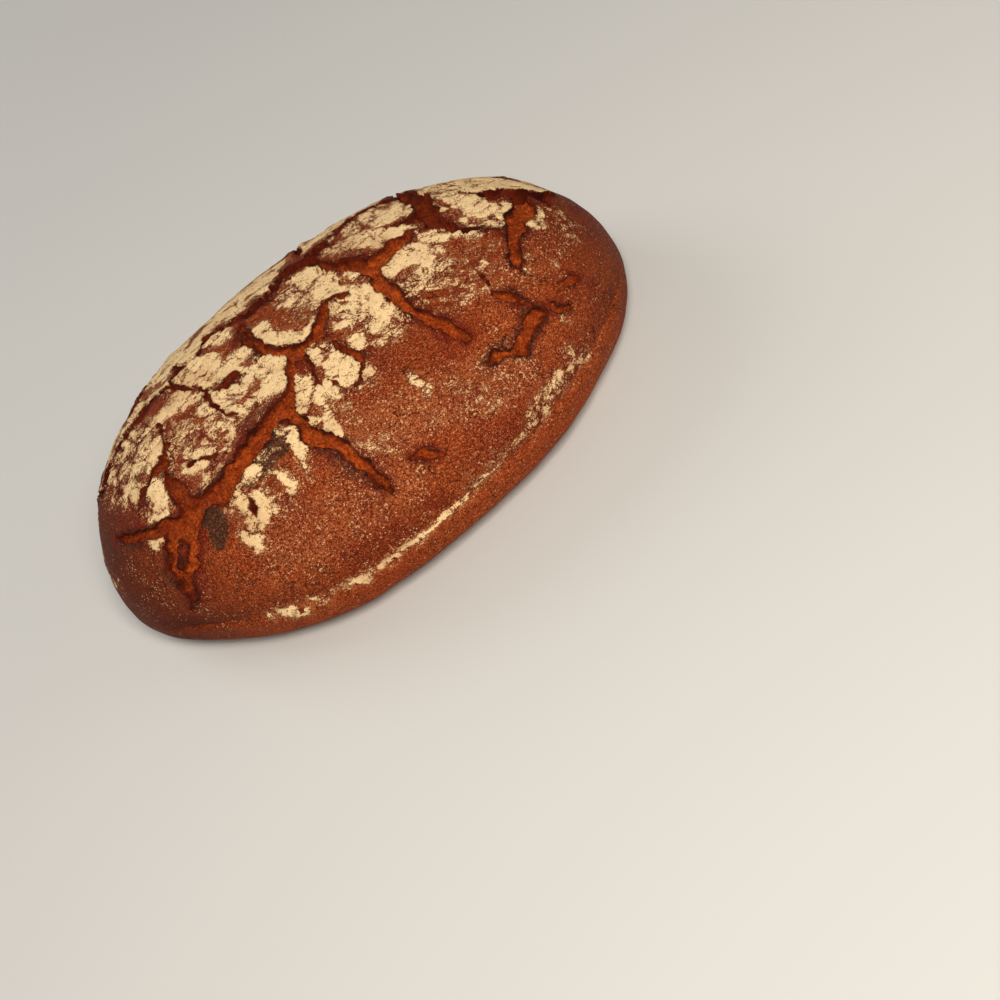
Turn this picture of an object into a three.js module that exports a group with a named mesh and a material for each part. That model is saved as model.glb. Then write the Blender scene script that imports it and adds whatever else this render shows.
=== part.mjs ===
// A farmhouse loaf: one oval, hand-shaped loaf, baked on a flat stone until its crust tore open.
// Millimetres, +Z up, +X along the loaf. The origin is on the flat underside, below the middle.
import * as THREE from 'three';
import { mergeVertices } from 'three/addons/utils/BufferGeometryUtils.js';

// Driving dimensions of the whole loaf.
const LENGTH = 300;
const WIDTH = 196;
const HEIGHT = 94;

// The widest line runs round the loaf this high. Below it the side tucks in to the flat underside.
const FOOT_HEIGHT = 18;
// Below the foot the side curves in to this depth under the stone, so the stone cuts it off flat.
const SUNK_DEPTH = 6;

// Exponents of the rounded outlines: 2 is an ellipse, larger numbers are squarer.
const PLAN = { outer: 2.3, inner: 1.8 };
const RIDGE = { outer: 3.7, inner: 1.9 };
const UNDERSIDE = { outer: 7, inner: 2 };
const DOME_SQUARENESS = 2.25;
const FOOT_SQUARENESS = 2.2;

// Facets along and around the loaf.
const STEPS_ALONG = 56;
const STEPS_AROUND = 64;

// Places where the dough rose more, or less, than the even shape: centre, reach and height.
const SWELLS = [
  { at: [-45, -88, 12], reach: 45, height: 3 },
  { at: [-118, -62, 14], reach: 34, height: -3 },
  { at: [100, -72, 14], reach: 40, height: -2 },
  { at: [5, 62, 66], reach: 55, height: 1.5 },
  { at: [-140, 0, 35], reach: 30, height: 1 },
  { at: [95, 55, 70], reach: 40, height: -1.2 },
  { at: [-85, 45, 75], reach: 35, height: -1.2 },
];

// The main tears in the crust. A route's points are [x, girth]: girth is measured over the dome
// from the ridge line, and is positive towards -Y.
const TEARS = [
  { width: 10, depth: 4, route: [[-20, 34], [-50, 43], [-88, 54], [-102, 68], [-114, 90], [-120, 106]] },
  { width: 10, depth: 4, route: [[-19, -20], [-17, 5], [-2, 16], [12, 12], [24, 2]] },
  { width: 12, depth: 5, route: [[-120, -30], [-85, -31], [-50, -34], [-10, -33], [15, -41], [48, -47]] },
  { width: 11, depth: 4, route: [[25, -32], [33, -14], [44, 5], [45, 35], [50, 55], [60, 70]] },
  { width: 12, depth: 4, route: [[44, -2], [80, -5], [84, -40], [85, -62]] },
  { width: 12, depth: 5, route: [[136, -8], [120, 8], [112, 33], [100, 55], [96, 68]] },
];

const GIRTH_SAMPLES = 400;

// How far a rounded outline has narrowed at `along`, which runs from -1 to 1: 1 in the middle, 0 at the tips.
function narrowing(along, outline) {
  return Math.max(0, 1 - Math.abs(along) ** outline.outer) ** (1 / outline.inner);
}

// A sine or cosine bent towards a square.
function squared(value, squareness) {
  return Math.sign(value) * Math.abs(value) ** (2 / squareness);
}

// The even loaf, before the stone flattens it: `along` runs from -1 to 1, and `turn` from 0 on the
// ridge through PI / 2 on the -Y side.
function evenLoaf(along, turn) {
  const sine = Math.sin(turn);
  const cosine = Math.cos(turn);
  const onDome = cosine >= 0;
  const squareness = onDome ? DOME_SQUARENESS : FOOT_SQUARENESS;
  const halfWidth = (WIDTH / 2) * narrowing(along, PLAN);
  const rise = onDome
    ? (HEIGHT - FOOT_HEIGHT) * narrowing(along, RIDGE)
    : (FOOT_HEIGHT + SUNK_DEPTH) * narrowing(along, UNDERSIDE);
  return new THREE.Vector3(
    (along * LENGTH) / 2,
    -halfWidth * squared(sine, squareness),
    FOOT_HEIGHT + rise * squared(cosine, squareness),
  );
}

// The turn at a given girth, found by walking round the loaf's middle section.
function turnAtGirth(girth) {
  let walked = 0;
  let before = evenLoaf(0, 0);
  for (let step = 1; step <= GIRTH_SAMPLES; step += 1) {
    const turn = (Math.PI * step) / GIRTH_SAMPLES;
    const here = evenLoaf(0, turn);
    walked += here.distanceTo(before);
    if (walked >= Math.abs(girth)) return Math.sign(girth) * turn;
    before = here;
  }
  return Math.PI;
}

function tearSegments(tear) {
  const points = tear.route.map(([x, girth]) => evenLoaf((2 * x) / LENGTH, turnAtGirth(girth)));
  return points.slice(1).map((end, index) => new THREE.Line3(points[index], end));
}

const tears = TEARS.map((tear) => ({ ...tear, segments: tearSegments(tear) }));

// How far the swells push a point out, and the tears let it sink.
function unevenness(point) {
  let push = 0;
  for (const { at, reach, height } of SWELLS) {
    push += height * Math.exp(-point.distanceToSquared(new THREE.Vector3(...at)) / reach ** 2);
  }
  const nearest = new THREE.Vector3();
  for (const { width, depth, segments } of tears) {
    const distances = segments.map((segment) =>
      segment.closestPointToPoint(point, true, nearest).distanceTo(point));
    push -= depth * Math.exp(-((Math.min(...distances) / (width / 2)) ** 2));
  }
  return push;
}

// Moves a point of the unit sphere, whose poles lie on the X axis, to its place on the loaf.
function mould(spherePoint) {
  const point = evenLoaf(spherePoint.x, Math.atan2(-spherePoint.y, spherePoint.z));
  const core = new THREE.Vector3(point.x * 0.75, 0, FOOT_HEIGHT);
  const outwards = point.clone().sub(core).normalize();
  point.addScaledVector(outwards, unevenness(point));
  point.z = Math.max(0, point.z); // the stone
  return point;
}

// Stretches the moulded loaf to exactly its driving dimensions, centred over the origin.
function fitToSize(geometry) {
  geometry.computeBoundingBox();
  const { min, max } = geometry.boundingBox;
  geometry.translate(-(min.x + max.x) / 2, -(min.y + max.y) / 2, 0);
  geometry.scale(LENGTH / (max.x - min.x), WIDTH / (max.y - min.y), HEIGHT / max.z);
}

function loafGeometry() {
  const sphere = new THREE.SphereGeometry(1, STEPS_AROUND, STEPS_ALONG);
  sphere.rotateZ(-Math.PI / 2);
  sphere.deleteAttribute('normal');
  sphere.deleteAttribute('uv');
  const geometry = mergeVertices(sphere);
  const positions = geometry.getAttribute('position');
  const point = new THREE.Vector3();
  for (let index = 0; index < positions.count; index += 1) {
    point.fromBufferAttribute(positions, index);
    positions.setXYZ(index, ...mould(point));
  }
  fitToSize(geometry);
  geometry.computeVertexNormals();
  return geometry;
}

const crust = new THREE.MeshStandardMaterial({ color: 0x96532e, roughness: 0.85, metalness: 0 });

const loaf = new THREE.Mesh(loafGeometry(), crust);
loaf.name = 'loaf';

const model = new THREE.Group();
model.add(loaf);

export default model;
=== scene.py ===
# %% [markdown]
# # A farmhouse loaf
#
# A large oval loaf, shaped by hand, rolled in flour and baked on a stone. As it rises in the oven the
# floury skin can't stretch any more, so it tears into plates, and the new crust between the plates stays
# lighter and rougher. The whole loaf is one surface here: a rounded shape worked out as a formula, with
# the tears, the plates and the flour added to it one after the other.

# %% Load the fixed frame
import itertools
import math

import bpy
import numpy as np
from mathutils import Matrix, Vector


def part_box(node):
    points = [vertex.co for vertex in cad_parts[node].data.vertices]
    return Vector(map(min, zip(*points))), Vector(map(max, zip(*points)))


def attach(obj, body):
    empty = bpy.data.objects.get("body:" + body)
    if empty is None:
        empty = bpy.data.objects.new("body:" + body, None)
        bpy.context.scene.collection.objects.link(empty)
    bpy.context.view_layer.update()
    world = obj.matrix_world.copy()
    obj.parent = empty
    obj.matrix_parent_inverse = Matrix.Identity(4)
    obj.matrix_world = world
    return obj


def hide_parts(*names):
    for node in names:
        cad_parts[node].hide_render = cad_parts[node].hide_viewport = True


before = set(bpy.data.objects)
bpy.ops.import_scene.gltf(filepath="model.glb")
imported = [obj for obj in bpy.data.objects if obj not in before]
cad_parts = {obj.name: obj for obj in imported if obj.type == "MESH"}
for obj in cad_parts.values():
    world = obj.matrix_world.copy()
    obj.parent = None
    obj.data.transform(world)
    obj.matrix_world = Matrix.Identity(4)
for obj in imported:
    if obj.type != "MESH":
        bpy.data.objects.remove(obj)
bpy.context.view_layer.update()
MM = 0.001
TINY = 1e-9  # keeps a length of zero from dividing by zero
loaf_low, loaf_high = (np.array(corner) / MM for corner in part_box("loaf"))
LENGTH, WIDTH, HEIGHT = loaf_high - loaf_low
print(f"The loaf fills {LENGTH:.0f} x {WIDTH:.0f} x {HEIGHT:.0f} mm")

# %% [markdown]
# ## The risen shape
#
# A hand-shaped loaf is nearly an ellipse from above and a flattened dome from the end, with its widest
# line low down at the foot, below which the side tucks in. It could be sculpted, but a formula is easier
# to reason about: a superellipse for each outline, whose exponents say how square the curve is.
# A place on the loaf is given as x, the distance along it, and girth, the distance walked round the
# middle section from the ridge, positive towards the front (-Y). Both are in millimetres, so a tear
# or a patch of flour can be laid out like a drawing on the unrolled crust.

# %% The rounded outlines
FOOT_HEIGHT = 18
SUNK_DEPTH = 6
PLAN = (2.3, 1.8)
RIDGE = (3.7, 1.9)
UNDERSIDE = (7, 2)
DOME_SQUARENESS = 2.25
FOOT_SQUARENESS = 2.2


def narrowing(x, outline):
    """(1 - |2x / length| ** outer) ** (1 / inner): 1 in the middle of the loaf and 0 at its tips."""
    outer, inner = outline
    along = np.clip(np.abs(2 * x / LENGTH), 0, 1)
    return (1 - along**outer) ** (1 / inner)


def squared(value, squareness):
    """A sine or cosine bent towards a square: sign(v) * |v| ** (2 / squareness)."""
    return np.sign(value) * np.abs(value) ** (2 / squareness)


def even_loaf(x, turn):
    """Half width times the squared sine across, and rise times the squared cosine upwards from the foot.

    turn is 0 on the ridge, a quarter turn on the front foot line and half a turn under the loaf.
    """
    x, turn = np.broadcast_arrays(np.asarray(x, float), np.asarray(turn, float))
    on_dome = np.cos(turn) >= 0
    squareness = np.where(on_dome, DOME_SQUARENESS, FOOT_SQUARENESS)
    dome_rise = (HEIGHT - FOOT_HEIGHT) * narrowing(x, RIDGE)
    foot_drop = (FOOT_HEIGHT + SUNK_DEPTH) * narrowing(x, UNDERSIDE)
    across = -WIDTH / 2 * narrowing(x, PLAN) * squared(np.sin(turn), squareness)
    up = FOOT_HEIGHT + np.where(on_dome, dome_rise, foot_drop) * squared(np.cos(turn), squareness)
    return np.stack([x, across, up], axis=-1)


# %% Girth, measured by walking round the middle section
WALK_STEPS = 4000
walk_turns = np.linspace(0, math.pi, WALK_STEPS)
walk_points = even_loaf(0, walk_turns)
walk_strides = np.linalg.norm(np.diff(walk_points, axis=0), axis=1)
walked = np.concatenate([[0], np.cumsum(walk_strides)])
HALF_GIRTH = walked[-1]
FOOT_GIRTH = np.interp(math.pi / 2, walk_turns, walked)


def turn_at(girth):
    """The turn whose walk from the ridge is girth; a walk past the underside comes up the far side."""
    wrapped = (np.asarray(girth, float) + HALF_GIRTH) % (2 * HALF_GIRTH) - HALF_GIRTH
    return np.sign(wrapped) * np.interp(np.abs(wrapped), walked, walk_turns)


print(f"Half way round is {HALF_GIRTH:.0f} mm, and the foot line lies at {FOOT_GIRTH:.0f} mm")

# %% [markdown]
# ## Uneven rising
#
# No loaf rises evenly. A few broad swells and hollows, each a soft Gaussian bump pushed out from the
# loaf's core, give this one its own outline. The stone then cuts the underside off flat.
#
# The grid of the crust is coarser under the loaf, and its rings crowd together towards the blunt tips.

# %% Swells and the stone
SWELLS = [  # centre x, y, z, reach and height
    (-45, -88, 12, 45, 3.0),
    (-118, -62, 14, 34, -3.0),
    (100, -72, 14, 40, -2.0),
    (5, 62, 66, 55, 1.5),
    (-140, 0, 35, 30, 1.0),
    (95, 55, 70, 40, -1.2),
    (-85, 45, 75, 35, -1.2),
]
CORE_SHARE = 0.75  # the core line is this much shorter than the loaf


def swollen(points):
    """points moved away from the core line by the sum of height * exp(-(distance / reach) ** 2)."""
    core = points * np.array([CORE_SHARE, 0, 0]) + np.array([0, 0, FOOT_HEIGHT])
    outwards = points - core
    outwards /= np.linalg.norm(outwards, axis=-1, keepdims=True) + TINY
    push = np.zeros(points.shape[:-1])
    for *centre, reach, height in SWELLS:
        distance_squared = ((points - np.array(centre)) ** 2).sum(axis=-1)
        push += height * np.exp(-distance_squared / reach**2)
    return points + outwards * push[..., None]


# %% The grid of places on the crust
RINGS = 330
SIDE_GIRTH = 150.0  # the fine part of the grid ends here, just under the foot
SIDE_STEPS = 250
UNDERSIDE_STEPS = 45

outline_x = np.linspace(-LENGTH / 2, LENGTH / 2, WALK_STEPS)
outline_width = WIDTH / 2 * narrowing(outline_x, PLAN)
outline_walk = np.concatenate([[0], np.cumsum(np.hypot(np.diff(outline_x), np.diff(outline_width)))])
ring_x = np.interp(np.linspace(0, outline_walk[-1], RINGS + 1), outline_walk, outline_x)
side_girths = np.linspace(-SIDE_GIRTH, SIDE_GIRTH, SIDE_STEPS + 1)
under_girths = np.linspace(SIDE_GIRTH, 2 * HALF_GIRTH - SIDE_GIRTH, UNDERSIDE_STEPS + 1)[1:-1]
girths = np.concatenate([side_girths, under_girths])
grid_x, grid_girth = np.meshgrid(ring_x, girths, indexing="ij")

raw_grid = swollen(even_loaf(grid_x, turn_at(grid_girth)))
raw_low = raw_grid.reshape(-1, 3).min(axis=0) * [1, 1, 0]  # the stone lies at z = 0
raw_high = raw_grid.reshape(-1, 3).max(axis=0)


def risen_loaf(x, girth):
    """The swollen loaf, stretched to exactly the frame's box and cut off flat by the stone at z = 0."""
    raw = swollen(even_loaf(x, turn_at(girth)))
    fitted = loaf_low + (raw - raw_low) * (loaf_high - loaf_low) / (raw_high - raw_low)
    fitted[..., 2] = np.maximum(fitted[..., 2], 0)
    return fitted


grid_points = risen_loaf(grid_x, grid_girth)
print(f"{grid_points.shape[0]} rings of {grid_points.shape[1]} places")

# %% [markdown]
# ## Hills of noise
#
# Dough is never smooth at any scale. Blender has noise for shaders, but the mesh needs its own: a cube
# lattice with a random height at each corner, blended smoothly in between. The seed fixes the hills, so
# the loaf bakes the same way each time. Hills can also push points about, which makes an edge ragged.

# %% Lattice noise
NOISE_CELLS = 48
RAGGEDNESS = [(12, 1.8, 10), (5, 1.6, 20), (2.6, 1.0, 25)]  # hill size, reach and seed


def smooth(share):
    """0 below 0, 1 above 1 and t * t * (3 - 2t) in between."""
    share = np.clip(share, 0, 1)
    return share * share * (3 - 2 * share)


def hills(points, size, seed):
    """Random heights from -1 to 1 at the corners of cubes `size` mm wide, blended with smooth()."""
    heights = np.random.default_rng(seed).uniform(-1, 1, (NOISE_CELLS,) * 3)
    place = points / size
    corner = np.floor(place).astype(int)
    share = smooth(place - corner)
    total = np.zeros(points.shape[:-1])
    for side in itertools.product((0, 1), repeat=3):
        weight = np.where(side, share, 1 - share).prod(axis=-1)
        cell = (corner + side) % NOISE_CELLS
        total += weight * heights[cell[..., 0], cell[..., 1], cell[..., 2]]
    return total


def stacked(points, layers):
    """The sum of height * hills() over the layers, each a height, a hill size and a seed."""
    return sum(height * hills(points, size, seed) for height, size, seed in layers)


def wander(points, size, reach, seed):
    """points moved up to `reach` mm along each axis by three sets of hills."""
    return points + reach * np.stack([hills(points, size, seed + axis) for axis in range(3)], axis=-1)


crust_points = grid_points[1:-1].reshape(-1, 3)
tip_points = grid_points[[0, -1], 0]
points = np.concatenate([crust_points, tip_points])
ragged_points = points
for size, reach, seed in RAGGEDNESS:
    ragged_points = wander(ragged_points, size, reach, seed)
print(f"{len(points)} points on the crust")

# %% [markdown]
# ## Strokes on the crust
#
# Tears, flour patches and scorched places are all drawn the same way: as strokes, like those of a brush
# whose width changes. A stroke lists a few places (x, girth, half width). What the later steps need is the
# gap from each point of the crust to the stroke's edge, negative inside it. Because the points were made
# ragged first, the edges come out torn and not drawn with a ruler.

# %% The gap to a stroke's edge
FAR = 1e3
DOT_LENGTH = 0.01


def stroke_gap(stroke):
    """The gap to a stroke's edge, the unit direction to its middle line and its half width there.

    The gap is the distance to the nearest stretch of the middle line, minus the half width at that place.
    A stroke with only one place is a round dot.
    """
    x, girth, half_width = np.array(stroke, float).T
    knots = risen_loaf(x, girth)
    if len(knots) == 1:
        knots = np.concatenate([knots, knots + [DOT_LENGTH, 0, 0]])
        half_width = np.repeat(half_width, 2)
    gap = np.full(len(points), FAR)
    towards = np.zeros_like(points)
    width = np.zeros(len(points))
    for start, end, width_here, width_next in zip(knots[:-1], knots[1:], half_width[:-1], half_width[1:]):
        span = end - start
        share = np.clip((ragged_points - start) @ span / (span @ span), 0, 1)
        offset = start + share[:, None] * span - ragged_points
        distance = np.linalg.norm(offset, axis=1)
        width_there = width_here + share * (width_next - width_here)
        gap_here = distance - width_there
        closer = gap_here < gap
        gap[closer] = gap_here[closer]
        width[closer] = width_there[closer]
        towards[closer] = offset[closer] / (distance[closer, None] + TINY)
    return gap, towards, width


# %% [markdown]
# ## Tears
#
# The oven opens the crust along the weakest lines. A tear has a steep wall on both sides, a rough floor
# 2 to 5 mm down, and plate edges that dried first and curled up and over it. Carving with a boolean would
# leave clean, dead edges. Here each tear lowers the surface by its gap: the wall drops over about 2 mm,
# the lip outside it rises, and the lip's points also lean in over the tear, so the plate overhangs.
#
# Freshness says how late a tear opened: an early one had time to bake dark red, a late one stayed orange. A
# low freshness is also painted shade, given to tears whose floors lie in the shadow of the plate beside
# them.
# Only wide, deep tears lift their plates, and the wall under an uphill plate is painted nearly black as the
# shade of that plate.

# %% Where the crust tore
# The second number, freshness, is also painted shade: a low one darkens a tear whose floor lies in shadow.
TEARS = [  # depth, freshness, then places on the stroke
    # The long tear along the front, and its branches at the left end.
    (3.6, 0.9, (-20, 34.5, 4), (-30, 40, 5.5), (-42, 44.5, 6), (-60, 50.5, 7.2), (-71, 54.5, 7),
     (-82, 54, 5), (-92, 57, 6.5), (-98, 64, 6)),
    (2.0, 0.9, (-96, 62, 5.5), (-98, 70, 5), (-102, 77, 4), (-107, 83, 3.4), (-112, 90, 3.2),
     (-116, 98, 3)),
    (2.6, 0.95, (-94, 57, 5), (-104, 58, 4.5), (-108.5, 66, 4.2), (-112.5, 76, 4.2), (-114, 86, 4.2),
     (-116.5, 94, 3.6), (-118.5, 101, 2.8), (-120.5, 109, 1)),
    (1.9, 0.55, (-128, 22, 2), (-124, 32, 3.5), (-119, 41, 3.8), (-112, 47, 3.8), (-102, 53, 4.5)),
    # The branch down the front.
    (2.8, 0.95, (-25, 40, 3), (-27, 51, 4), (-25, 59, 5.6), (-20, 67, 5), (-16.5, 75, 5), (-15, 83, 4.4),
     (-14.5, 91, 3.6), (-13.5, 98, 2.8), (-12, 104, 1)),
    # The loop on the crown, and the narrow tears below it.
    (3.0, 1.0, (-21, -24, 2), (-20, -10, 2.8), (-18.5, 0, 2.8), (-15.5, 8, 3.6), (-10.5, 15, 5),
     (-3, 16.5, 5.6), (5, 16.5, 5.6), (11, 12.5, 5.2), (15, 7.5, 4.8), (20, 3, 3.4), (24, 3.5, 1.8),
     (30, 9, 0.8)),
    (3.2, 0.9, (-11, 17, 4), (-14.5, 25, 4), (-20, 35, 2.5)),
    (1.8, 0.3, (-6, 20, 1.5), (-6, 30, 1.8), (-6.5, 40, 1.6), (-6, 43, 0.5)),
    (2.2, 0.75, (8.5, 20, 1.6), (9, 29, 1.4), (12, 38, 1.8), (15, 44, 3), (11, 51, 2.3), (3, 54, 1.8),
     (-2, 48, 1.2), (-1.5, 41, 1)),
    # The deep tears along the ridge: early, and also painted dark as shade under their plates.
    (5.0, 0.14, (-104, -31, 2.5), (-94, -33, 3.6), (-82, -32, 3.6), (-73, -34, 2.6), (-66, -28, 2.2),
     (-58, -33, 3.2), (-47, -31.5, 2.8), (-36, -39.5, 3.2), (-25, -34, 4), (-12, -31.5, 4.6), (0, -36, 5),
     (12, -41, 5), (24, -38.5, 5.4), (35, -43, 4.6), (46, -47, 4), (56, -55, 4.4), (66, -56, 3),
     (74, -56, 4)),
    (5.0, 0.15, (-121, -29, 3), (-116, -32, 4.2), (-111, -32, 3)),
    (2.2, 0.1, (-108, -37, 0.8), (-103, -29, 1.4), (-100, -24, 0.5)),
    (3.0, 0.15, (-58, -33, 2.5), (-58.5, -40, 3), (-59, -47, 1.2)),
    (2.0, 0.12, (-66, -27, 2), (-60, -17, 1.8), (-55, -9, 1.7), (-52, -1, 1.4), (-54, 8, 1.4),
     (-52, 17, 1.3), (-48, 25, 1), (-44, 29, 0.8)),
    (2.4, 0.2, (-52, 3, 1.5), (-44, 4.5, 2.6), (-37, 3, 2.4), (-33, 6, 0.8), (-27, 14, 0.7),
     (-23, 19, 0.4)),
    (2.4, 0.5, (-27, -21, 1.2), (-24.5, -12, 2.4), (-22.5, -3, 1.8)),
    # The forked tear right of the middle, and the one beyond it.
    (4.0, 0.6, (24, -37, 3.5), (27, -26, 3), (31, -16, 4), (38, -11, 5), (44, -3, 5.6), (44.5, 8, 4.8)),
    (2.8, 0.95, (44.5, 6, 5.5), (43.5, 18, 4.8), (45, 27, 4.3), (46.5, 36, 4), (47.5, 45, 3.9),
     (50.5, 53, 4), (55, 61, 3.9), (59, 69, 2.6), (61, 73, 0.8)),
    (2.8, 1.0, (44, 0, 6.5), (53, -1, 6.5), (61, -2.5, 6), (67, -2.5, 4.4), (71, -1, 2)),
    (5.2, 0.32, (79, -78, 4), (81, -60, 5.5), (83, -42, 6), (84, -24, 6), (82, -8, 6.4), (83, 2, 5),
     (85, 9, 3.6), (89, 16, 2.6), (94, 22, 3.2), (98, 29, 1.8), (104, 33, 2.5)),
    (4.4, 0.7, (62, -20, 1.6), (69, -16, 4), (77, -12, 6)),
    # The tear across the right end; its crossing is painted dark as shade under the far plate.
    (4.8, 0.12, (102, -21, 1.4), (109.5, -12, 4.4), (116, -3, 5.4), (122, 0, 5), (129, -1, 4.6),
     (135, -3, 3)),
    (4.0, 0.85, (121, 8, 6), (120.5, 14, 6.6), (118, 22, 6), (113, 30, 6.4), (108, 37, 5.8),
     (103.5, 45, 4.6), (101, 52, 3.6), (98.5, 58, 2.8), (96.5, 65, 1)),
    (1.8, 0.1, (127, 4, 3), (130.5, 13, 3), (131, 23, 1.6)),
    # Short tears low on the right.
    (2.4, 1.0, (80.5, 61, 1), (83.5, 66, 3.2), (87, 72, 3.4), (90, 79, 1.2)),
    (1.3, 0.3, (79, 38, 0.5), (81, 45, 1), (82, 52, 1), (81.5, 59, 0.5)),
    (2.4, 1.0, (56, 86, 1), (62, 87, 3.4), (67, 88.5, 3.6), (71, 92, 3.6), (76, 93, 4), (81, 90, 4),
     (87, 88, 4.6), (92, 86.5, 4), (95, 85, 1.4)),
    (2.0, 1.0, (97, 90, 1.4), (100, 93.5, 3.6), (104, 97, 2.2), (107, 99, 0.5)),
    (1.6, 0.9, (0, 94, 0.5), (5, 96.5, 2.2), (10, 99.5, 3), (14, 103, 2), (18, 105, 0.4)),
    (1.8, 0.9, (110, 84, 1), (114.5, 88.5, 3.2), (119, 93, 0.8)),
    (1.2, 0.9, (118, 96, 0.6), (123, 104, 1.8), (126, 109, 0.5)),
    # The left plates and the slits in their flour.
    (2.6, 0.7, (-80, -10, 1.2), (-81, 0, 1.6), (-82, 9, 2), (-88, 15, 3.4), (-96, 18, 2.6), (-103, 23, 2.4),
     (-110, 28, 1.2)),
    (2.0, 0.45, (-88, 14, 3), (-88.5, 24, 3), (-89, 34, 4.4), (-89, 44, 5), (-88, 53, 5)),
    (1.6, 0.15, (-117, -12, 0.6), (-114.5, -5, 1.1), (-112, 1, 0.5)),
    (1.2, 0.05, (-64, 65, 0.4), (-65.5, 70, 1.2), (-67.5, 74, 0.9), (-68.5, 79, 0.5)),
    (1.2, 0.05, (-76, 80, 0.4), (-73, 83, 1.1), (-70.5, 86.5, 0.4)),
    (1.8, 0.3, (-80, 30, 0.8), (-73, 33, 1.5), (-67, 36, 1.6), (-62, 40, 0.6)),
    # The far side, out of the way of the tears along the ridge.
    (4.0, 0.4, (23, -52, 1.5), (23, -62, 3.2), (24, -75, 3.8), (20, -90, 3.4), (22, -104, 2.2),
     (18, -115, 0.5)),
    (3.6, 0.6, (-100, -36, 1.5), (-88, -52, 3.2), (-78, -66, 4.2), (-62, -78, 4.4), (-52, -92, 4),
     (-48, -106, 2.8), (-51, -118, 0.6)),
    (3.2, 0.7, (-52, -92, 3), (-38, -96, 3.2), (-24, -92, 2.4), (-14, -97, 0.8)),
    (3.8, 0.6, (79, -78, 4), (84, -90, 3.6), (94, -100, 3), (98, -112, 1)),
    (3.4, 0.7, (24, -84, 2.5), (38, -88, 3.6), (52, -84, 4), (66, -86, 3.6), (80, -84, 3)),
    (3.0, 0.5, (-121, -34, 2), (-126, -48, 3), (-124, -64, 3), (-116, -78, 2), (-112, -90, 0.5)),
    (3.0, 0.5, (121, -45, 0.6), (124, -56, 2.6), (122, -70, 3.2), (114, -84, 2), (112, -94, 0.5)),
    (2.2, 0.8, (-8, -118, 0.5), (2, -116, 1.8), (10, -119, 1.4), (16, -122, 0.4)),
    (2.0, 0.9, (52, -112, 0.5), (60, -110, 2), (68, -114, 1.6), (74, -113, 0.5)),
    (2.0, 0.8, (-100, -104, 0.5), (-92, -108, 2), (-84, -106, 0.6)),
]

# %% Tear the crust
WALL_WIDTH = 1.6  # a wall drops over this distance
FLOOR_CROWN = 0.22  # the middle of a floor stands this share of the depth higher
NICKS = [(0.9, 4.2, 27), (0.5, 2.2, 28)]  # height, hill size and seed of the nicks in a tear's edge
WIDE_TEAR = 2.5  # from this half width and this depth on, a tear lifts its plates fully
DEEP_TEAR = 2.5
LIP_SHARE = 0.38  # a lip rises by this share of the depth, counted up to the thickest
THICKEST_LIP = 3.8
LIP_REACH = 4.0
OVERHANG = 1.1
OVERHANG_REACH = 2.5
OVERHANG_START = 0.6 * WALL_WIDTH
SHADED_TEAR = 5.0  # from this half width on, walls are shaded fully
LEVEL_SHADE = 0.3  # the shade of both walls on level crust, and what the slope adds to the uphill one
SLOPE_SHADE = 1.5

tear_gap = np.full(len(points), FAR)
tear_towards = np.zeros_like(points)
sinking, freshness_and_light, tear_depth, tear_width, lifting = np.zeros((5, len(points)))
nicks = stacked(points, NICKS)
for depth, fresh_and_lit, *stroke in TEARS:
    gap, towards, width = stroke_gap(stroke)
    gap += nicks
    closer = gap < tear_gap
    tear_gap[closer] = gap[closer]
    tear_towards[closer] = towards[closer]
    freshness_and_light[closer] = fresh_and_lit
    tear_depth[closer] = depth
    tear_width[closer] = width[closer]
    lifting[closer] = smooth(width[closer] / WIDE_TEAR) * smooth(depth / DEEP_TEAR)
    floor = depth * (smooth(-gap / WALL_WIDTH) - FLOOR_CROWN * smooth((-gap - WALL_WIDTH) / WALL_WIDTH))
    sinking = np.maximum(sinking, floor)

outside = np.maximum(tear_gap, 0)
lip = LIP_SHARE * np.minimum(tear_depth, THICKEST_LIP) * lifting
lip *= np.exp(-outside / LIP_REACH) * smooth(1 + tear_gap / WALL_WIDTH)
lean = OVERHANG * lifting * np.exp(-outside / OVERHANG_REACH) * smooth(1 + tear_gap / OVERHANG_START)
under_plate = np.clip(LEVEL_SHADE - SLOPE_SHADE * tear_towards[:, 2], 0, 1)
under_plate *= lifting * smooth(tear_width / SHADED_TEAR)
print(f"{(tear_gap < 0).mean():.0%} of the crust's points lie inside {len(TEARS)} tears")

# %% [markdown]
# ## Flour
#
# The basket the loaf proved in leaves rye flour on its skin: thick, cream and cracked where it caked, and
# a faint dust elsewhere. It only lies on the plates, because the floors of the tears never touched the
# basket. Each patch is a stroke with a coverage: near 1 it is caked and crisp, a lower one is powdery and
# breaks up into specks in the shader, and a very low one is only dust. Flour clings to the tears' lips.

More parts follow.
